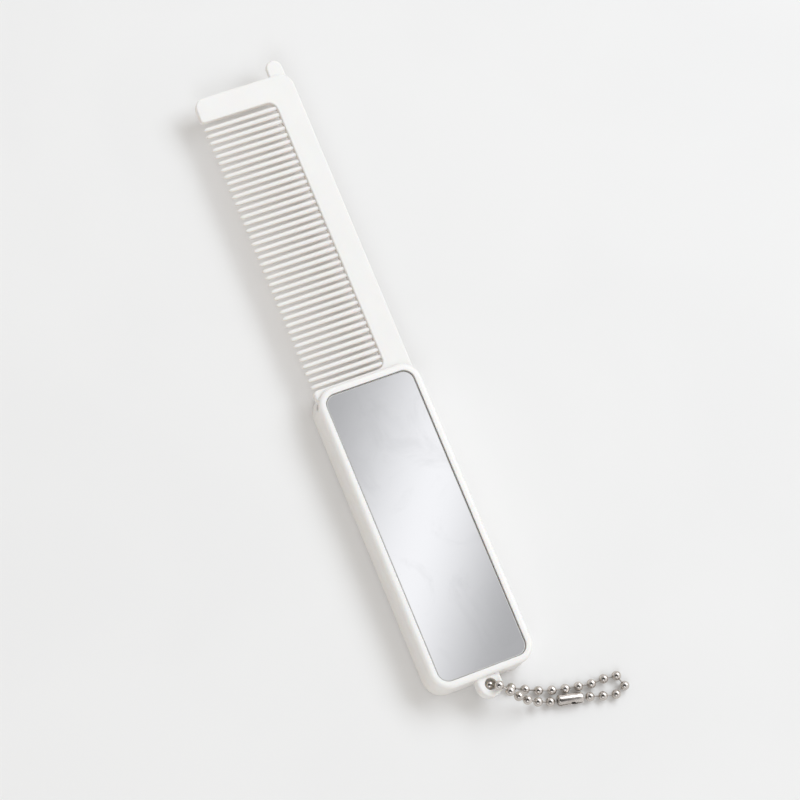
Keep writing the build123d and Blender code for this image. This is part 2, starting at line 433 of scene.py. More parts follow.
class SurfaceEffects:
    """The shader node groups that more than one finish uses, each built once."""

    FINE_SHARE = 0.25  # the fine grain's share of the height, the rest being a slow swell
    TONE_EDGE = (0.3, 0.7)
    SMEAR_EDGE = (0.48, 0.75)
    SPECK_EDGE = (0.02, 0.06)

    def __init__(self) -> None:
        """Builds the groups."""
        self.grain = self._moulding_grain()
        self.haze = self._handling_haze()

    @staticmethod
    def _start(name: str, inputs: dict[str, float], outputs: Sequence[str]) -> Wiring:
        """Starts a shader node group.

        Args:
            name: The group's name.
            inputs: The number inputs and their first values.
            outputs: The number outputs.

        Returns:
            The group's wiring.
        """
        tree = bpy.data.node_groups.new(name, "ShaderNodeTree")
        for label, value in inputs.items():
            socket = tree.interface.new_socket(
                label, in_out="INPUT", socket_type="NodeSocketFloat"
            )
            socket.default_value = value
        for label in outputs:
            tree.interface.new_socket(label, in_out="OUTPUT", socket_type="NodeSocketFloat")
        return Wiring(tree)

    @staticmethod
    def _pattern(
        wiring: Wiring, kind: str, size: bpy.types.NodeSocket, **inputs: float
    ) -> bpy.types.NodeSocket:
        """Adds a texture that lies on the piece's own coordinates.

        Args:
            wiring: The group's wiring.
            kind: The texture node's type name.
            size: The size of its parts, in millimetres.
            inputs: Its other inputs.

        Returns:
            The texture's value or distance.
        """
        position = wiring.add("ShaderNodeTexCoord").outputs["Object"]
        scale = wiring.math("DIVIDE", 1 / MM, size)
        return wiring.out(kind, {"Vector": position, "Scale": scale, **inputs})

    def _moulding_grain(self) -> bpy.types.NodeTree:
        """Builds the faint unevenness of a moulded or rolled surface.

        Returns:
            The group, with outputs Height, in 0 to 1, and Tone, a slow mottle.
        """
        sizes = {"Grain Size": 0.3, "Flow Size": 9.0}
        wiring = self._start("Moulding Grain", sizes, ("Height", "Tone"))
        size = wiring.add("NodeGroupInput").outputs
        noise = "ShaderNodeTexNoise"
        fine = self._pattern(wiring, noise, size["Grain Size"], Detail=3.0, Roughness=0.55)
        slow = self._pattern(wiring, noise, size["Flow Size"], Detail=2.0, Distortion=0.6)
        swell = wiring.math("MULTIPLY", slow, 1 - self.FINE_SHARE)
        height = wiring.math("MULTIPLY_ADD", fine, self.FINE_SHARE, swell)
        tone = wiring.ramp(slow, *self.TONE_EDGE, 0.0, 1.0)
        wiring.add("NodeGroupOutput", {"Height": height, "Tone": tone})
        return wiring.tree

    def _handling_haze(self) -> bpy.types.NodeTree:
        """Builds the thin smears and dust that handling leaves on a bright surface.

        Returns:
            The group, with outputs Haze, 0 where clean, and Specks, 1 on a grain of dust.
        """
        sizes = {"Smear Size": 6.0, "Speck Size": 0.5}
        wiring = self._start("Handling Haze", sizes, ("Haze", "Specks"))
        size = wiring.add("NodeGroupInput").outputs
        smear = self._pattern(
            wiring,
            "ShaderNodeTexNoise",
            size["Smear Size"],
            Detail=4.0,
            Roughness=0.6,
            Distortion=1.4,
        )
        cells = self._pattern(wiring, "ShaderNodeTexVoronoi", size["Speck Size"])
        haze = wiring.ramp(smear, *self.SMEAR_EDGE, 0.0, 1.0)
        specks = wiring.ramp(cells, *self.SPECK_EDGE, 1.0, 0.0)
        wiring.add("NodeGroupOutput", {"Haze": haze, "Specks": specks})
        return wiring.tree


class Drift(Enum):
    """The pattern that mixes a finish's two tones."""

    FLOW = "Tone"
    GRAIN = "Height"
    SMEARS = "Haze"


@dataclass(frozen=True)
class Finish:
    """Two tones that a pattern mixes, a painted shade on walls and undersides, and how rough and
    uneven the surface is.

    Sizes are in millimetres, and an effect without sizes is left out.
    """

    fixed: ClassVar[dict[str, Any]] = {}  # what is the same all over the surface
    name: str
    colour: Colour
    second: Colour  # the tone that it drifts to
    drift: Drift
    roughness: float
    grain: Pair | None = None  # the size of its fine unevenness, and of its slow one
    haze: Pair | None = None  # the size of smears, and the room that each grain of dust has
    smear_roughness: float = 0.0
    speck_roughness: float = 0.0
    ripple: float = 0.0
    depth: float = 0.0
    side: Colour | None = None  # painted shade: a darker, warmer tone on walls and undersides, set by which way they face
    painted_shade_full_below: float = 0.2  # how far up a surface looks where that tone is full
    painted_shade_none_above: float = 0.85  # and where there is none of it

    def make(self, effects: SurfaceEffects) -> bpy.types.Material:
        """Builds the material.

        Args:
            effects: The shared node groups.

        Returns:
            The material.
        """
        material = bpy.data.materials.new(self.name)
        material.use_nodes = True
        wiring = Wiring(material.node_tree)
        shader = material.node_tree.nodes["Principled BSDF"].inputs
        for label, value in self.fixed.items():
            shader[label].default_value = value

        patterns: dict[str, bpy.types.NodeSocket] = {}
        for sizes, group in ((self.grain, effects.grain), (self.haze, effects.haze)):
            if sizes:
                node = wiring.add("ShaderNodeGroup", dict(enumerate(sizes)), node_tree=group)
                patterns.update(node.outputs.items())

        colour = wiring.mix(patterns[self.drift.value], self.colour, self.second)
        # Painted shade: walls and undersides take the side tone, by how far up they face
        if self.side:
            facing = wiring.add("ShaderNodeTexCoord").outputs["Normal"]
            upward = wiring.add("ShaderNodeSeparateXYZ", {0: facing}).outputs["Z"]
            wall = wiring.ramp(upward, self.painted_shade_full_below, self.painted_shade_none_above, 1.0, 0.0)
            colour = wiring.mix(wall, colour, self.side)
        wiring.feed(shader["Base Color"], colour)

        rough: Any = self.roughness
        if self.haze:
            rough = wiring.math("MULTIPLY_ADD", patterns["Haze"], self.smear_roughness, rough)
        if self.speck_roughness:
            rough = wiring.math("MULTIPLY_ADD", patterns["Specks"], self.speck_roughness, rough)
        wiring.feed(shader["Roughness"], rough)

        if self.ripple:
            height = patterns["Height"]
            bump = {"Strength": self.ripple, "Distance": self.depth * MM, "Height": height}
            wiring.feed(shader["Normal"], wiring.out("ShaderNodeBump", bump))
        return material


@dataclass(frozen=True)
class MouldedPlastic(Finish):
    """White polystyrene from a polished mould, a little glossy."""

    fixed: ClassVar[dict[str, Any]] = {
        "IOR": 1.5,
        "Subsurface Weight": 0.2,
        "Subsurface Scale": 0.8 * MM,
        "Subsurface Radius": (1.0, 0.75, 0.55),
    }
    drift: Drift = Drift.FLOW
    roughness: float = 0.3
    grain: Pair = (0.45, 14.0)
    haze: Pair = (11.0, 0.9)
    smear_roughness: float = 0.1
    ripple: float = 0.5
    depth: float = 0.004


@dataclass(frozen=True)
class SilveredGlass(Finish):
    """Mirror glass, silvered behind, with a film of handling on it."""

    fixed: ClassVar[dict[str, Any]] = {"Metallic": 1.0}
    name: str = "silvered_glass"
    colour: Colour = (0.93, 0.935, 0.94)
    second: Colour = (0.88, 0.885, 0.89)
    drift: Drift = Drift.SMEARS
    roughness: float = 0.02
    haze: Pair = (16.0, 1.6)
    smear_roughness: float = 0.03
    speck_roughness: float = 0.1


@dataclass(frozen=True)
class GroundGlass(Finish):
    """The ground rim of the mirror's glass, without silver."""

    fixed: ClassVar[dict[str, Any]] = {"IOR": 1.52}
    name: str = "ground_glass_rim"
    colour: Colour = (0.6, 0.61, 0.61)
    second: Colour = (0.7, 0.7, 0.69)
    drift: Drift = Drift.SMEARS
    roughness: float = 0.4
    haze: Pair = (3.0, 0.5)
    smear_roughness: float = 0.2


@dataclass(frozen=True)
class NickelSteel(Finish):
    """Steel with a bright nickel plating."""

    fixed: ClassVar[dict[str, Any]] = {"Metallic": 1.0}
    name: str = "nickel_plated_steel"
    colour: Colour = (0.68, 0.635, 0.59)
    second: Colour = (0.56, 0.515, 0.47)
    drift: Drift = Drift.FLOW
    roughness: float = 0.17
    grain: Pair = (0.6, 2.5)
    haze: Pair = (1.8, 0.4)
    smear_roughness: float = 0.12
    ripple: float = 0.15
    depth: float = 0.004


@dataclass(frozen=True)
class FoamTape(Finish):
    """Thin double-sided foam tape."""

    name: str = "foam_tape"
    colour: Colour = (0.62, 0.61, 0.58)
    second: Colour = (0.5, 0.49, 0.46)
    drift: Drift = Drift.GRAIN
    roughness: float = 0.9
    grain: Pair = (0.12, 0.6)
    ripple: float = 0.8
    depth: float = 0.03


@dataclass(frozen=True)
class TableTop(Finish):
    """The plain pale table under the comb."""

    name: str = "pale_table"
    colour: Colour = (0.885, 0.886, 0.889)
    second: Colour = (0.87, 0.871, 0.875)
    drift: Drift = Drift.FLOW
    roughness: float = 0.6
    grain: Pair = (2.0, 60.0)


class Finishes:
    """The materials, each built once."""

    def __init__(self) -> None:
        """Builds every material with the shared effects."""
        # The side tones are painted shade: darker and warmer on walls and undersides, most of all
        # on the teeth
        case = MouldedPlastic(
            name="white_case_plastic",
            colour=(0.955, 0.95, 0.943),
            second=(0.94, 0.935, 0.926),
            side=(0.925, 0.9, 0.868),
        )
        comb = MouldedPlastic(
            name="white_comb_plastic",
            colour=(0.915, 0.912, 0.906),
            second=(0.9, 0.896, 0.888),
            side=(0.895, 0.86, 0.82),
        )
        teeth = replace(comb, name="white_tooth_plastic", side=(0.875, 0.8, 0.73))
        # Dark paint on the glass's edge, which also paints the shade in the narrow gap round the
        # mirror
        edge_paint_and_shade = GroundGlass(
            name="mirror_edge_paint_and_gap_shade", colour=(0.12, 0.11, 0.1), second=(0.19, 0.175, 0.16)
        )
        rolled = NickelSteel(name="rolled_nickel_steel", roughness=0.2, ripple=0.04)
        # Painted shade: the wires are the balls' plated steel, made darker to stand in for their
        # shading
        wire = NickelSteel(
            name="wire_steel_with_painted_shade",
            colour=(0.44, 0.41, 0.38),
            second=(0.33, 0.3, 0.27),
            roughness=0.34,
        )
        effects = SurfaceEffects()
        self.case_plastic = case.make(effects)
        self.comb_plastic = comb.make(effects)
        self.tooth_plastic = teeth.make(effects)
        self.mirror = SilveredGlass().make(effects)
        self.glass_rim = GroundGlass().make(effects)
        self.glass_edge_paint_and_shade = edge_paint_and_shade.make(effects)
        self.steel = NickelSteel().make(effects)
        self.rolled_steel = rolled.make(effects)
        self.wire = wire.make(effects)
        self.tape = FoamTape().make(effects)
        self.table = TableTop().make(effects)


# Studio


@dataclass(frozen=True)
class Lamp:
    """A soft box that faces the comb."""

    name: str
    place: Point
    width: float
    height: float
    power: float
    colour: Colour


@dataclass(frozen=True)
class MirroredRoom:
    """The light of the room as bright surfaces mirror it, from each way."""

    # Where the camera's eye is from the mirror's middle, in millimetres
    eye_across: float = -263.5
    eye_along: float = -123.4
    eye_above: float = 803.0

    # The pale band across the mirror, and the light at the mirror's two ends
    band_slope: float = -1.25
    band_top: float = 54.0
    band_bottom: float = -46.0
    light_at_top: float = 0.47
    fall_at_bottom: float = 0.53

    # The rest of the room: where its left and right are, and their light
    left_end: float = -0.9
    right_end: float = 0.6
    left_light: float = 0.5
    right_light: float = 0.95

    # The dark patch behind the camera, and the part of the room that the mirror shows
    to_camera: Point = (-0.3208, -0.1814, 0.9296)
    patch_edge: Pair = (0.7, 0.88)
    patch_light: float = 0.05
    to_mirrored: Point = (0.3208, 0.1814, 0.9296)
    mirrored_edge: Pair = (0.975, 0.992)
    lowest: float = 0.05

    def strength(self, wiring: Wiring) -> bpy.types.NodeSocket:
        """Works out the light's strength.

        Args:
            wiring: The world's wiring.

        Returns:
            The strength.
        """
        way = wiring.add("ShaderNodeTexCoord").outputs["Generated"]
        axes = wiring.add("ShaderNodeSeparateXYZ", {0: way}).outputs
        high = wiring.math("MAXIMUM", axes["Z"], self.lowest)
        across = wiring.math("DIVIDE", axes["X"], high)
        along = wiring.math("DIVIDE", axes["Y"], high)

        # In the mirror: its own place across and along, in millimetres from its middle
        mirror_x = wiring.math("MULTIPLY_ADD", across, self.eye_above, self.eye_across)
        mirror_y = wiring.math("MULTIPLY_ADD", along, self.eye_above, self.eye_along)
        slope = wiring.math("MULTIPLY_ADD", mirror_x, self.band_slope, mirror_y)
        rise = wiring.ramp(slope, self.band_top, 0.0, self.light_at_top, 1.0)
        fall = wiring.ramp(slope, 0.0, self.band_bottom, 0.0, self.fall_at_bottom)
        band = wiring.math("SUBTRACT", rise, fall)

        # Everywhere else: darker towards the left and behind the camera
        sides = wiring.ramp(
            axes["X"], self.left_end, self.right_end, self.left_light, self.right_light
        )
        towards_camera, towards_mirrored = (
            wiring.add("ShaderNodeVectorMath", {0: way, 1: direction}, operation="DOT_PRODUCT")
            for direction in (self.to_camera, self.to_mirrored)
        )
        behind = towards_camera.outputs["Value"]
        patch = wiring.ramp(behind, *self.patch_edge, 1.0, self.patch_light)
        general = wiring.math("MULTIPLY", sides, patch)
        mirrored = towards_mirrored.outputs["Value"]
        inside = wiring.ramp(mirrored, *self.mirrored_edge, 0.0, 1.0)
        inputs = {0: inside, 2: general, 3: band}
        return wiring.out("ShaderNodeMix", inputs, data_type="FLOAT")


@dataclass
class Studio:
    """The camera, the lamps, the world and the table."""

    eye: Point = (-0.26355, -0.12339, 0.812)  # this and the next two fit the case's edges
    looking: Point = (0.3132, 0.1795, -0.9326)
    upward: Point = (0.3136, 0.9074, 0.2799)
    lens: float = 157.5
    sensor: float = 36.0
    near_clip: float = 0.01
    target: Point = (0.0, 0.035, 0.0)
    table_size: float = 6.0
    table_height: float = -0.00002  # just clear of the case's back
    sky: float = 0.555
    sky_colour: Colour = (1.0, 0.962, 0.91)
    backdrop: Colour = (0.87, 0.868, 0.862)
    backdrop_light: float = 1.0
    mirrored_colour: Colour = (0.975, 0.976, 1.0)
    mirrored_room: MirroredRoom = MirroredRoom()
    lamps: tuple[Lamp, ...] = (
        Lamp(
            name="key_lamp",
            place=(1.3, 0.6, 1.6),
            width=2.0,
            height=1.1,
            power=25.3,
            colour=(0.905, 0.953, 1.0),
        ),
        Lamp(
            name="front_lamp",
            place=(-0.95, -1.35, 1.7),
            width=1.5,
            height=1.0,
            power=8.8,
            colour=(0.93, 0.96, 1.0),
        ),
    )

    def build_camera(self) -> None:
        """Sets the camera where the photograph was taken from."""
        data = bpy.data.cameras.new("photo_camera")
        data.lens = self.lens
        data.sensor_width = self.sensor
        data.clip_start = self.near_clip
        camera = bpy.data.objects.new("photo_camera", data)
        back = -Vector(self.looking).normalized()
        side = Vector(self.upward).cross(back).normalized()
        turn = Matrix((side, back.cross(side), back)).transposed()
        camera.matrix_world = Matrix.Translation(self.eye) @ turn.to_4x4()
        bpy.context.scene.collection.objects.link(camera)
        bpy.context.scene.camera = camera

    def build_lamps(self) -> None:
        """Hangs the soft boxes."""
        for lamp in self.lamps:
            data = bpy.data.lights.new(lamp.name, "AREA")
            data.shape = "RECTANGLE"
            data.size = lamp.width
            data.size_y = lamp.height
            data.energy = lamp.power
            data.color = lamp.colour
            light = bpy.data.objects.new(lamp.name, data)
            aim = Vector(self.target) - Vector(lamp.place)
            light.location = lamp.place
            light.rotation_euler = aim.to_track_quat("-Z", "Y").to_euler()
            bpy.context.scene.collection.objects.link(light)

    def build_table(self, finish: bpy.types.Material) -> None:
        """Lays the table top just under the comb.

        Args:
            finish: The table's material.
        """
        reach = self.table_size / 2
        corners = [(-reach, -reach), (reach, -reach), (reach, reach), (-reach, reach)]
        mesh = bpy.data.meshes.new("table_top")
        mesh.from_pydata([(x, y, self.table_height) for x, y in corners], [], [(0, 1, 2, 3)])
        table = place("table_top", mesh)
        mesh.materials.append(finish)

    def build_world(self) -> None:
        """Makes the even light of the room, and what bright surfaces mirror of it."""
        world = bpy.data.worlds.new("studio")
        world.use_nodes = True
        bpy.context.scene.world = world
        world.node_tree.nodes.clear()
        wiring = Wiring(world.node_tree)
        seen = self.mirrored_room.strength(wiring)
        lights = [
            wiring.out("ShaderNodeBackground", {0: rgba(colour), 1: strength})
            for colour, strength in (
                (self.sky_colour, self.sky),
                (self.mirrored_colour, seen),
                (self.backdrop, self.backdrop_light),
            )
        ]
        room, mirrored, behind_all = lights
        rays = wiring.add("ShaderNodeLightPath").outputs
        glossy = wiring.out("ShaderNodeMixShader", {0: rays["Is Glossy Ray"], 1: room, 2: mirrored})
        camera = wiring.out(
            "ShaderNodeMixShader", {0: rays["Is Camera Ray"], 1: glossy, 2: behind_all}
        )
        wiring.add("ShaderNodeOutputWorld", {0: camera})


# Ball chain


@dataclass
class BallChain:
    """Hollow steel balls on short wires, in a loop through the lug, closed by a sleeve."""

    route: tuple[Point, ...] = (
        (0.0, -0.042, 0.006),
        (0.0009, -0.0427, 0.0093),
        (0.0032, -0.045, 0.0086),
        (0.0062, -0.0474, 0.0056),
        (0.0096, -0.0492, 0.0029),
        (0.0136, -0.0506, 0.00145),
        (0.018, -0.0515, 0.0015),
        (0.023, -0.0526, 0.00145),
        (0.0268, -0.0537, 0.00125),
        (0.0306, -0.0549, 0.00125),
        (0.034, -0.0545, 0.00125),
        (0.034, -0.0506, 0.00125),
        (0.0302, -0.05, 0.00125),
        (0.0264, -0.0503, 0.00125),
        (0.0226, -0.0496, 0.00125),
        (0.0172, -0.0486, 0.00125),
        (0.0122, -0.047, 0.00125),
        (0.008, -0.0448, 0.00125),
        (0.0042, -0.0429, 0.00125),
        (0.0, -0.042, 0.0015),
        (0.0, -0.042, 0.006),
    )
    route_order: int = 3
    route_steps: int = 24
    ball_count: int = 24
    ball_radius: float = 1.2
    ball_segments: int = 24
    ball_rings: int = 18
    dent_start: float = 0.955  # the height on a ball, of its radius, where its pole's dent starts
    dent_bottom: float = 0.86  # the pole's own height
    wire_radius: float = 0.2
    wire_sides: int = 10
    lead_balls: int = 8  # from the lug to the sleeve
    length: float = 0.0825
    sleeve_length: float = 6.6
    sleeve_radius: float = 1.4
    sleeve_wall: float = 0.15
    sleeve_sides: int = 48
    sleeve_edge: float = 0.04
    slot_width: float = 0.4
    notch_width: float = 1.1
    notch_length: float = 1.7
    neck_radius: float = 0.55
    shoulder: float = 0.55
    shoulder_steps: int = 6
    slot_side: Point = (0.0, -1.0, 0.35)  # the way that the sleeve's slot faces
    line: list[Vector] = field(default_factory=list)

    def follow_route(self) -> bpy.types.Object:
        """Reads the smooth route from its NURBS spline.

        Returns:
            A piece whose mesh is the route's fine line.
        """
        curve = bpy.data.curves.new("chain_route", "CURVE")
        curve.dimensions = "3D"
        spline = curve.splines.new("NURBS")
        spline.points.add(len(self.route) - 1)
        for point, place_on_it in zip(spline.points, self.route):
            point.co = (*place_on_it, 1.0)
        spline.order_u = self.route_order
        spline.use_endpoint_u = True
        spline.resolution_u = self.route_steps
        guide = bpy.data.objects.new("chain_route", curve)
        bpy.context.scene.collection.objects.link(guide)
        graph = bpy.context.evaluated_depsgraph_get()
        mesh = bpy.data.meshes.new_from_object(guide.evaluated_get(graph))
        bpy.data.objects.remove(guide)
        self.line = [vertex.co.copy() for vertex in mesh.vertices]
        return place("ball_chain", mesh)

    def ball_place(self, number: int) -> Vector:
        """Finds a ball's centre.

        Args:
            number: The ball, from 0 in the lug's hole.

        Returns:
            Its centre, in metres.
        """
        steps = [(b - a).length for a, b in zip(self.line, self.line[1:])]
        left = sum(steps) * number / self.ball_count
        for start, step, end in zip(self.line, steps, self.line[1:]):
            if left <= step:
                return start.lerp(end, left / step)
            left -= step
        return self.line[-1]

    def dented_ball(self, wiring: Wiring, radius: bpy.types.NodeSocket) -> bpy.types.NodeSocket:
        """Adds a ball with its two poles pressed in, where the wires go in.

        Args:
            wiring: The chain's wiring.
            radius: The ball's radius.

        Returns:
            The ball.
        """
        ball = wiring.out(
            "GeometryNodeMeshUVSphere",
            {"Segments": self.ball_segments, "Rings": self.ball_rings, "Radius": radius},
        )
        position = wiring.out("GeometryNodeInputPosition")
        spot = wiring.add("ShaderNodeSeparateXYZ", {0: position}).outputs
        height = wiring.math("ABSOLUTE", wiring.math("DIVIDE", spot["Z"], radius))
        dent = wiring.ramp(height, self.dent_start, 1.0, 1.0, self.dent_bottom)
        lowered = wiring.math("MULTIPLY", spot["Z"], dent)
        pressed = wiring.out("ShaderNodeCombineXYZ", {0: spot["X"], 1: spot["Y"], 2: lowered})
        return wiring.out("GeometryNodeSetPosition", {"Geometry": ball, "Position": pressed})

    def straight_wires(
        self, wiring: Wiring, stops: bpy.types.NodeSocket, value: Any
    ) -> bpy.types.NodeSocket:
        """Adds a straight wire from each ball to the next, with none inside the sleeve.

        Args:
            wiring: The chain's wiring.
            stops: The curve whose points are the balls' places.
            value: The tree's inputs.

        Returns:
            The wires, marked on the attribute is_wire.
        """
        spans = wiring.out("GeometryNodeCurveToMesh", {"Curve": stops})
        has_wire = wiring.out(
            "FunctionNodeCompare",
            {2: wiring.out("GeometryNodeInputIndex"), 3: value["Gap After Ball"]},
            data_type="INT",
            operation="NOT_EQUAL",
        )
        paths = wiring.out("GeometryNodeMeshToCurve", {0: spans, 1: has_wire})
        circle = {"Resolution": self.wire_sides, "Radius": value["Wire Radius"]}
        section = wiring.out("GeometryNodeCurvePrimitiveCircle", circle)
        wires = wiring.out(
            "GeometryNodeCurveToMesh",
            {"Curve": paths, "Profile Curve": section, "Fill Caps": True},
        )
        return wiring.out(
            "GeometryNodeStoreNamedAttribute",
            {"Geometry": wires, "Name": "is_wire", "Value": True},
            data_type="BOOLEAN",
            domain="FACE",
        )

    def links_tree(self) -> bpy.types.NodeTree:
        """Builds the tree that strings balls and wires along a line.

        Returns:
            The tree.
        """
        wiring, value = new_tree(
            "Ball Chain",
            {
                "Ball Count": "NodeSocketInt",
                "Ball Radius": "NodeSocketFloat",
                "Wire Radius": "NodeSocketFloat",
                "Gap After Ball": "NodeSocketInt",
                "Steel": "NodeSocketMaterial",
                "Wire Steel": "NodeSocketMaterial",
            },
        )
        line = wiring.out("GeometryNodeMeshToCurve", {0: value["Geometry"]})
        points = wiring.math("ADD", value["Ball Count"], 1)
        stops = wiring.out("GeometryNodeResampleCurve", {"Curve": line, "Count": points})

        # A ball at every stop but the last, which is the first one's place again
        is_ball = wiring.out(
            "FunctionNodeCompare",
            {2: wiring.out("GeometryNodeInputIndex"), 3: value["Ball Count"]},
            data_type="INT",
            operation="LESS_THAN",
        )
        tangent = wiring.out("GeometryNodeInputTangent")
        turned = wiring.out("FunctionNodeAlignRotationToVector", {"Vector": tangent}, axis="Z")
        balls = wiring.out(
            "GeometryNodeInstanceOnPoints",
            {
                "Points": stops,
                "Selection": is_ball,
                "Instance": self.dented_ball(wiring, value["Ball Radius"]),
                "Rotation": turned,
            },
        )

        both = wiring.add("GeometryNodeJoinGeometry", {0: balls})
        wiring.feed(both.inputs[0], self.straight_wires(wiring, stops, value))
        close_tree(wiring, both.outputs[0], value["Steel"], ("is_wire", value["Wire Steel"]))
        return wiring.tree

    def sleeve_profile(self) -> list[Pair]:
        """Lists the sleeve's outer line from one neck to the other.

        Returns:
            Pairs of the place along its middle line and the radius there, in millimetres.
        """
        half = self.sleeve_length / 2
        end = [(half, self.neck_radius)]
        for step in range(self.shoulder_steps + 1):
            turn = math.pi / 2 * step / self.shoulder_steps
            inward = self.shoulder * (1 - math.cos(turn))
            drop = self.shoulder * (1 - math.sin(turn))
            end.append((half - inward, self.sleeve_radius - drop))
        inner = [(self.notch_length, self.sleeve_radius), (0.0, self.sleeve_radius)]
        first = [(-place_on_it, radius) for place_on_it, radius in end]
        return first + inner[::-1] + end[::-1]

    def sleeve_angles(self) -> list[float]:
        """Lists the angles round the sleeve, from one lip of its slot to the other.

        Returns:
            The angles in radians. The notch takes the first and the last step.
        """
        slot_edge = math.asin(self.slot_width / 2 / self.sleeve_radius)
        notch_edge = math.asin(self.notch_width / 2 / self.sleeve_radius)
        wrap = 2 * math.pi - 2 * notch_edge
        steps = range(self.sleeve_sides + 1)
        inner = [notch_edge + wrap * step / self.sleeve_sides for step in steps]
        return [slot_edge, *inner, 2 * math.pi - slot_edge]

    def sleeve_place(self) -> tuple[Vector, Matrix]:
        """Finds the sleeve's place, halfway between its two balls.

        Returns:
            Its middle, in metres, and its turn, which takes Z along the chain.
        """
        start = self.ball_place(self.lead_balls - 1)
        finish = self.ball_place(self.lead_balls)
        along = (finish - start).normalized()
        side = Vector(self.slot_side)
        side = (side - along * side.dot(along)).normalized()
        turn = Matrix((side, along.cross(side), along)).transposed()
        return (start + finish) / 2, turn

    def build_sleeve(self) -> bpy.types.Object:
        """Rolls the sleeve from sheet, open along one side, with a notch beside its middle.

        Returns:
            The sleeve, in its place between its two balls.
        """
        middle, turn = self.sleeve_place()
        profile = self.sleeve_profile()
        angles = self.sleeve_angles()
        shape = bmesh.new()
        rows = []
        for place_on_it, radius in profile:
            ring = [(radius * math.cos(a), radius * math.sin(a), place_on_it) for a in angles]
            rows.append([shape.verts.new(middle + turn @ (Vector(spot) * MM)) for spot in ring])
        for number, (lower, upper) in enumerate(zip(rows, rows[1:])):
            from_place = profile[number][0]
            to_place = profile[number + 1][0]
            notched = from_place >= 0 and to_place <= self.notch_length
            columns = range(1, len(angles) - 2) if notched else range(len(angles) - 1)
            for column in columns:
                shape.faces.new(
                    (lower[column], lower[column + 1], upper[column + 1], upper[column])
                )
        loose = [vertex for vertex in shape.verts if not vertex.link_faces]
        bmesh.ops.delete(shape, geom=loose, context="VERTS")
        sleeve = settle("chain_sleeve_steel", shape)
        wall = sleeve.modifiers.new("sheet", "SOLIDIFY")
        wall.thickness = self.sleeve_wall * MM
        wall.offset = -1.0
        soften(sleeve, self.sleeve_edge, segments=2, crease=Crease.ROLLED)
        return sleeve

    def build(self, finishes: Finishes) -> None:
        """Args:
            finishes: The materials.
        """
        chain = self.follow_route()
        grow(
            chain,
            self.links_tree(),
            {
                "Ball Count": self.ball_count,
                "Ball Radius": self.ball_radius * MM,
                "Wire Radius": self.wire_radius * MM,
                "Gap After Ball": self.lead_balls - 1,
                "Steel": finishes.steel,
                # the wires' steel, darker as painted shade
                "Wire Steel": finishes.wire,
            },
        )
        balls = [f"chain_bead_{n:02d}" for n in range(1, self.ball_count + 1)]
        wires = [
            f"chain_link_{n:02d}" for n in range(1, self.ball_count + 1) if n != self.lead_balls
        ]
        dress(chain, None, Slot.STEEL, Body.CASE, *balls, *wires)
        sleeve = self.build_sleeve()
        dress(sleeve, finishes.rolled_steel, Slot.STEEL, Body.CASE, "chain_sleeve")


# Case


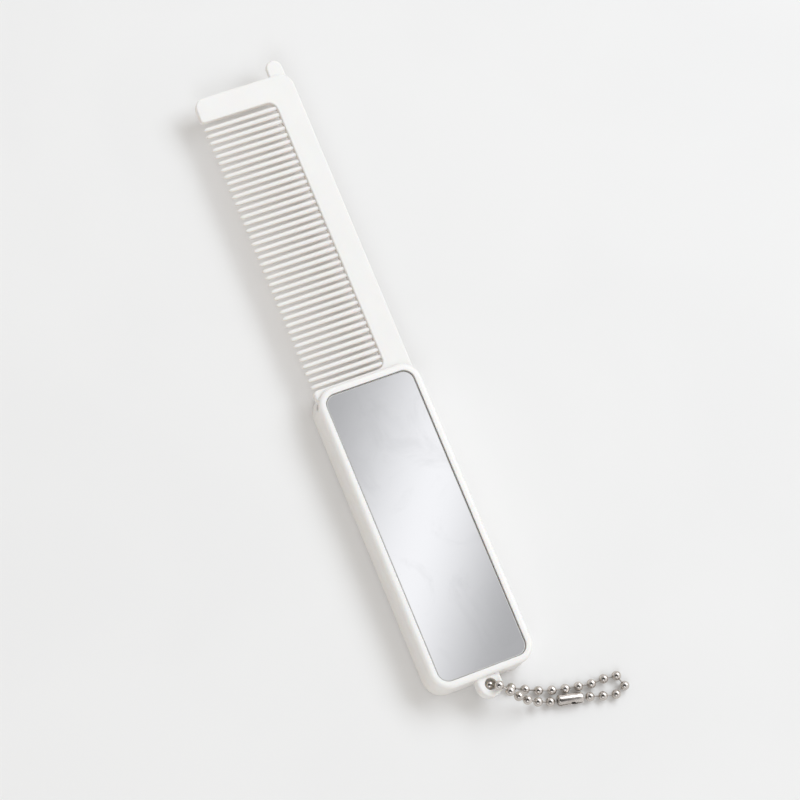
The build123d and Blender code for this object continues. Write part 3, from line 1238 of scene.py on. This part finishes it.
@dataclass
class MirrorCase:
    """The two welded shells, and the mirror on its tape."""

    shell_edge: float = 0.09
    glass_edge: float = 0.04
    lip_rounding: float = 0.22
    lip_steps: int = 5
    face_height: float = 9.0
    pocket_reach: Pair = (12.05, 38.2)
    pocket_floor: float = 8.05
    glass_shift: Point = (-0.13, -0.13, 0.0)  # the real mirror is glued in a little off centre
    glass_face: float = 0.97  # how far up the glass looks where it is silvered
    glass_bevel: float = 0.3  # and where it is ground, above its dark-painted edge, whose paint is partly painted shade of the gap
    corner_centre: Pair = (8.2, 34.35)
    corner_reach: Pair = (1.0, 4.3)  # a corner's points are this far from it
    corner_tightening: float = 0.9

    def tighten_corners(self, piece: bpy.types.Object) -> None:
        """Moves the corners of the mirror's outline out, on a smaller radius.

        Args:
            piece: The refined copy of the front frame or of the glass.
        """
        across, along = self.corner_centre
        nearest, farthest = self.corner_reach
        for vertex in piece.data.vertices:
            spot = vertex.co / MM
            away = Vector((abs(spot.x) - across, abs(spot.y) - along))
            in_corner = min(away) > -CLOSE and nearest < away.length < farthest
            if in_corner and spot.z > self.pocket_floor - CLOSE:
                away += self.corner_tightening * (Vector((1.0, 1.0)) - away.normalized())
                vertex.co.x = math.copysign(across + away.x, spot.x) * MM
                vertex.co.y = math.copysign(along + away.y, spot.y) * MM

    def round_lip(self, shell: bpy.types.Object) -> None:
        """Rounds the frame's inner edge, round the mirror.

        Args:
            shell: The front frame's refined copy.
        """
        shape = bmesh.new()
        shape.from_mesh(shell.data)
        across, along = self.pocket_reach
        lip = [
            edge
            for edge in shape.edges
            if all(
                v.co.z > (self.face_height - CLOSE) * MM
                and abs(v.co.x) < across * MM
                and abs(v.co.y) < along * MM
                for v in edge.verts
            )
            and edge.calc_face_angle(0.0) > Crease.MOULDED.angle
        ]
        bmesh.ops.bevel(
            shape,
            geom=lip,
            offset=self.lip_rounding * MM,
            offset_type="OFFSET",
            segments=self.lip_steps,
            profile=0.5,  # a quarter circle
            affect="EDGES",
            clamp_overlap=False,
        )
        shape.to_mesh(shell.data)
        shape.free()
        LOG.info("%s: %d lip edges rounded", shell.name, len(lip))

    def build_glass(self, node: bpy.types.Object, finishes: Finishes) -> None:
        """Dresses the mirror: silver on its face, its rim ground, and its edge dark-painted, which
        also paints the shade in the gap round it.

        Args:
            node: The CAD's glass.
            finishes: The materials.
        """
        glass = refined_copy(node, "mirror")
        self.tighten_corners(glass)
        soften(glass, self.glass_edge, segments=1, crease=Crease.GROUND)
        dress(glass, finishes.mirror, Slot.MIRROR, Body.CASE, "mirror_glass")
        glass.data.transform(Matrix.Translation(Vector(self.glass_shift) * MM))
        glass.data.materials.append(finishes.glass_rim)
        glass.data.materials.append(finishes.glass_edge_paint_and_shade)
        # The edge faces take dark paint, which also paints the shade in the gap round the mirror
        for polygon in glass.data.polygons:
            upward = polygon.normal.z
            polygon.material_index = int(upward < self.glass_face) + int(upward < self.glass_bevel)

    def build(self, nodes: dict[str, bpy.types.Object], finishes: Finishes) -> None:
        """Dresses the case.

        Args:
            nodes: The CAD nodes by name.
            finishes: The materials.
        """
        for node, name in (("rear_shell", "case_back"), ("front_frame", "case_front")):
            shell = refined_copy(nodes[node], name)
            if node == "front_frame":
                self.tighten_corners(shell)
                self.round_lip(shell)
            soften(shell, self.shell_edge, segments=2, crease=Crease.MOULDED)
            dress(shell, finishes.case_plastic, Slot.PLASTIC, Body.CASE, node)
        self.build_glass(nodes["mirror_glass"], finishes)
        tape = nodes["mirror_tape"]
        tape.data.materials.clear()
        tape.data.materials.append(finishes.tape)
        LOG.info("mirror_tape: kept as the CAD gives it, with its own material")


# Comb


@dataclass
class CombBlade:
    """The comb: foot, spine, guard, pull nub, stop block and tapered teeth."""

    left: float = -13.2
    right: float = 13.2
    back: float = 5.4
    front: float = 7.4
    foot_bottom: float = 35.2
    foot_top: float = 40.6
    guard_foot: float = 114.2
    tip: float = 120.5
    spine_inner: float = 6.6
    guard_corner: float = 2.7
    tip_corner: float = 3.5
    foot_corner: float = 3.45
    small_corner: float = 0.9
    window_corner: float = 2.2
    rim: float = 0.34
    nub_middle: float = 10.05
    nub_width: float = 4.2
    nub_foot: float = 2.0  # how far it reaches into the guard
    nub_top: float = 124.5
    nub_thickness: float = 1.5
    nub_rim: float = 0.4
    stop_half: float = 6.0
    stop_ends: Pair = (36.2, 38.5)
    stop_back: float = 3.6
    stop_root: float = 0.4  # how far it reaches into the blade
    stop_corner: float = 0.3
    stop_rim: float = 0.2
    tooth_count: int = 39
    tooth_pitch: float = 1.86
    first_tooth: float = 112.5
    tooth_root: float = 1.3
    tooth_tip: float = 1.04
    tooth_thickness: float = 1.3
    tooth_steps: int = 25
    tooth_sides: int = 16
    tip_crowding: float = 3.0
    tip_fullness: float = 1.002  # a little over 1, so that the last ring isn't a point
    root_depth: float = 0.8
    neck_width: float = 0.84  # the tooth's share that is left where it meets the spine
    neck_start: float = 0.35  # the share of the neck's length that is as narrow
    neck_length: float = 2.2  # from the tooth's root, in root depths

    def plate_outline(self) -> list[Vector]:
        """Draws the comb without its teeth and nub.

        Returns:
            The outline's points, in millimetres.
        """
        return rounded_outline(
            (
                Corner(self.left, self.foot_bottom, self.foot_corner),
                Corner(self.right, self.foot_bottom, self.foot_corner),
                Corner(self.right, self.tip, self.tip_corner),
                Corner(self.left, self.tip, self.guard_corner),
                Corner(self.left, self.guard_foot, self.small_corner),
                Corner(self.spine_inner, self.guard_foot, self.window_corner),
                Corner(self.spine_inner, self.foot_top, self.window_corner),
                Corner(self.left, self.foot_top, self.small_corner),
            )
        )

    def nub_outline(self) -> list[Vector]:
        """Draws the round-topped nub, its foot inside the guard.

        Returns:
            The outline's points, in millimetres.
        """
        half = self.nub_width / 2
        low = self.tip - self.nub_foot
        return rounded_outline(
            (
                Corner(self.nub_middle - half, low),
                Corner(self.nub_middle + half, low),
                Corner(self.nub_middle + half, self.nub_top, half),
                Corner(self.nub_middle - half, self.nub_top, half),
            )
        )

    def stop_outline(self) -> list[Vector]:
        """Draws the stop block behind the foot.

        Returns:
            The outline's points, in millimetres.
        """
        low, high = self.stop_ends
        places = ((-1, low), (1, low), (1, high), (-1, high))
        corners = [Corner(side * self.stop_half, y, self.stop_corner) for side, y in places]
        return rounded_outline(corners, steps=4)

    def tooth_radius(
        self, wiring: Wiring, value: Any, done: bpy.types.NodeSocket, left: bpy.types.NodeSocket
    ) -> bpy.types.NodeSocket:
        """Works out a tooth's radius, which falls evenly and then round the tip.

        It is also a little less where the tooth meets the spine.

        Args:
            wiring: The teeth's wiring.
            value: The tree's inputs.
            done: The share of the tooth's length from its root to the point.
            left: The share from the point to the tip.

        Returns:
            The radius.
        """
        taper = wiring.out(
            "ShaderNodeMapRange", {0: done, 3: value["Root Width"], 4: value["Tip Width"]}
        )
        from_tip = wiring.math("MULTIPLY", left, value["Length"])
        inward = wiring.math("SUBTRACT", 1.0, wiring.math("DIVIDE", from_tip, value["Tip Width"]))
        inward = wiring.math("MAXIMUM", inward, 0.0)
        square = wiring.math("MULTIPLY", inward, inward)
        rounding = wiring.math("SQRT", wiring.math("SUBTRACT", self.tip_fullness, square))
        from_root = wiring.math("MULTIPLY", done, value["Length"])
        neck_length = wiring.math("MULTIPLY", value["Root Depth"], self.neck_length)
        beyond = wiring.math("DIVIDE", from_root, neck_length)
        neck = wiring.ramp(beyond, self.neck_start, 1.0, self.neck_width, 1.0)
        radius = wiring.math("MULTIPLY", wiring.math("MULTIPLY", taper, rounding), 0.5)
        return wiring.math("MULTIPLY", radius, neck)

    def tooth(self, wiring: Wiring, value: Any) -> bpy.types.NodeSocket:
        """Adds one tapered tooth, its root at the origin and its tip towards -X.

        Args:
            wiring: The teeth's wiring.
            value: The tree's inputs.

        Returns:
            The tooth.
        """
        reach = wiring.math("MULTIPLY", value["Length"], -1.0)
        end = wiring.out("ShaderNodeCombineXYZ", {0: reach})
        line = wiring.out("GeometryNodeCurvePrimitiveLine", {"End": end})
        points = {"Curve": line, "Count": self.tooth_steps + 1}
        fine = wiring.out("GeometryNodeResampleCurve", points)

        # The points crowd towards the tip, so that it turns round in small steps
        index = wiring.out("GeometryNodeInputIndex")
        share = wiring.math("DIVIDE", index, float(self.tooth_steps))
        left = wiring.math("POWER", wiring.math("SUBTRACT", 1.0, share), self.tip_crowding)
        done = wiring.math("SUBTRACT", 1.0, left)
        spot = wiring.out("ShaderNodeCombineXYZ", {0: wiring.math("MULTIPLY", done, reach)})
        moved = wiring.out("GeometryNodeSetPosition", {"Geometry": fine, "Position": spot})
        circle = {"Resolution": self.tooth_sides, "Radius": 1.0}
        section = wiring.out("GeometryNodeCurvePrimitiveCircle", circle)
        radius = self.tooth_radius(wiring, value, done, left)
        pin = wiring.out(
            "GeometryNodeCurveToMesh",
            {"Curve": moved, "Profile Curve": section, "Scale": radius, "Fill Caps": True},
        )
        stretch = wiring.math("DIVIDE", value["Thickness"], value["Root Width"])
        scale = wiring.out("ShaderNodeCombineXYZ", {0: 1.0, 1: 1.0, 2: stretch})
        return wiring.out("GeometryNodeTransform", {"Geometry": pin, "Scale": scale})

    def teeth_tree(self) -> bpy.types.NodeTree:
        """Builds the tree that sets a row of tapered teeth along the spine.

        Returns:
            The tree.
        """
        sizes = ("Pitch", "Length", "Root Width", "Tip Width", "Thickness", "Root Depth")
        wiring, value = new_tree(
            "Comb Teeth",
            {
                "Count": "NodeSocketInt",
                **{size: "NodeSocketFloat" for size in sizes},
                "First Root": "NodeSocketVector",
                "Plastic": "NodeSocketMaterial",
            },
        )
        step = wiring.out(
            "ShaderNodeCombineXYZ", {1: wiring.math("MULTIPLY", value["Pitch"], -1.0)}
        )
        row = wiring.out(
            "GeometryNodeMeshLine",
            {"Count": value["Count"], "Start Location": value["First Root"], "Offset": step},
        )
        teeth = wiring.out(
            "GeometryNodeInstanceOnPoints", {"Points": row, "Instance": self.tooth(wiring, value)}
        )
        close_tree(wiring, teeth, value["Plastic"])
        return wiring.tree

    def build(self, finishes: Finishes) -> None:
        """Makes the comb.

        Args:
            finishes: The materials.
        """
        middle = (self.back + self.front) / 2
        half_nub = self.nub_thickness / 2
        plate = slab("comb_plate", self.plate_outline(), self.back, self.front)
        soften(plate, self.rim, segments=4, crease=Crease.ROLLED)
        dress(plate, finishes.comb_plastic, Slot.PLASTIC, Body.COMB, "comb_blade")
        nub = slab("pull_nub", self.nub_outline(), middle - half_nub, middle + half_nub)
        soften(nub, self.nub_rim, segments=4, crease=Crease.ROLLED)
        dress(nub, finishes.comb_plastic, Slot.PLASTIC, Body.COMB)
        stop = slab("stop_block", self.stop_outline(), self.stop_back, self.back + self.stop_root)
        soften(stop, self.stop_rim, segments=2, crease=Crease.ROLLED)
        dress(stop, finishes.comb_plastic, Slot.PLASTIC, Body.COMB)
        teeth = place("comb_teeth", bpy.data.meshes.new("comb_teeth"))
        root = self.spine_inner + self.root_depth
        grow(
            teeth,
            self.teeth_tree(),
            {
                "Count": self.tooth_count,
                "Pitch": self.tooth_pitch * MM,
                "Length": (root - self.left) * MM,
                "Root Width": self.tooth_root * MM,
                "Tip Width": self.tooth_tip * MM,
                "Thickness": self.tooth_thickness * MM,
                "Root Depth": self.root_depth * MM,
                "First Root": Vector((root, self.first_tooth, middle)) * MM,
                "Plastic": finishes.tooth_plastic,
            },
        )
        dress(teeth, finishes.tooth_plastic, Slot.PLASTIC, Body.COMB)


def main() -> None:
    """Builds the studio, then the comb piece by piece."""
    logging.basicConfig(level=logging.INFO, format="%(message)s")
    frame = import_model()
    bpy.context.scene.view_settings.view_transform = "Standard"
    finishes = Finishes()
    studio = Studio()
    studio.build_camera()
    BallChain().build(finishes)
    studio.build_lamps()
    studio.build_world()
    studio.build_table(finishes.table)
    MirrorCase().build(frame["nodes"], finishes)
    CombBlade().build(finishes)


if __name__ == "__main__":
    main()
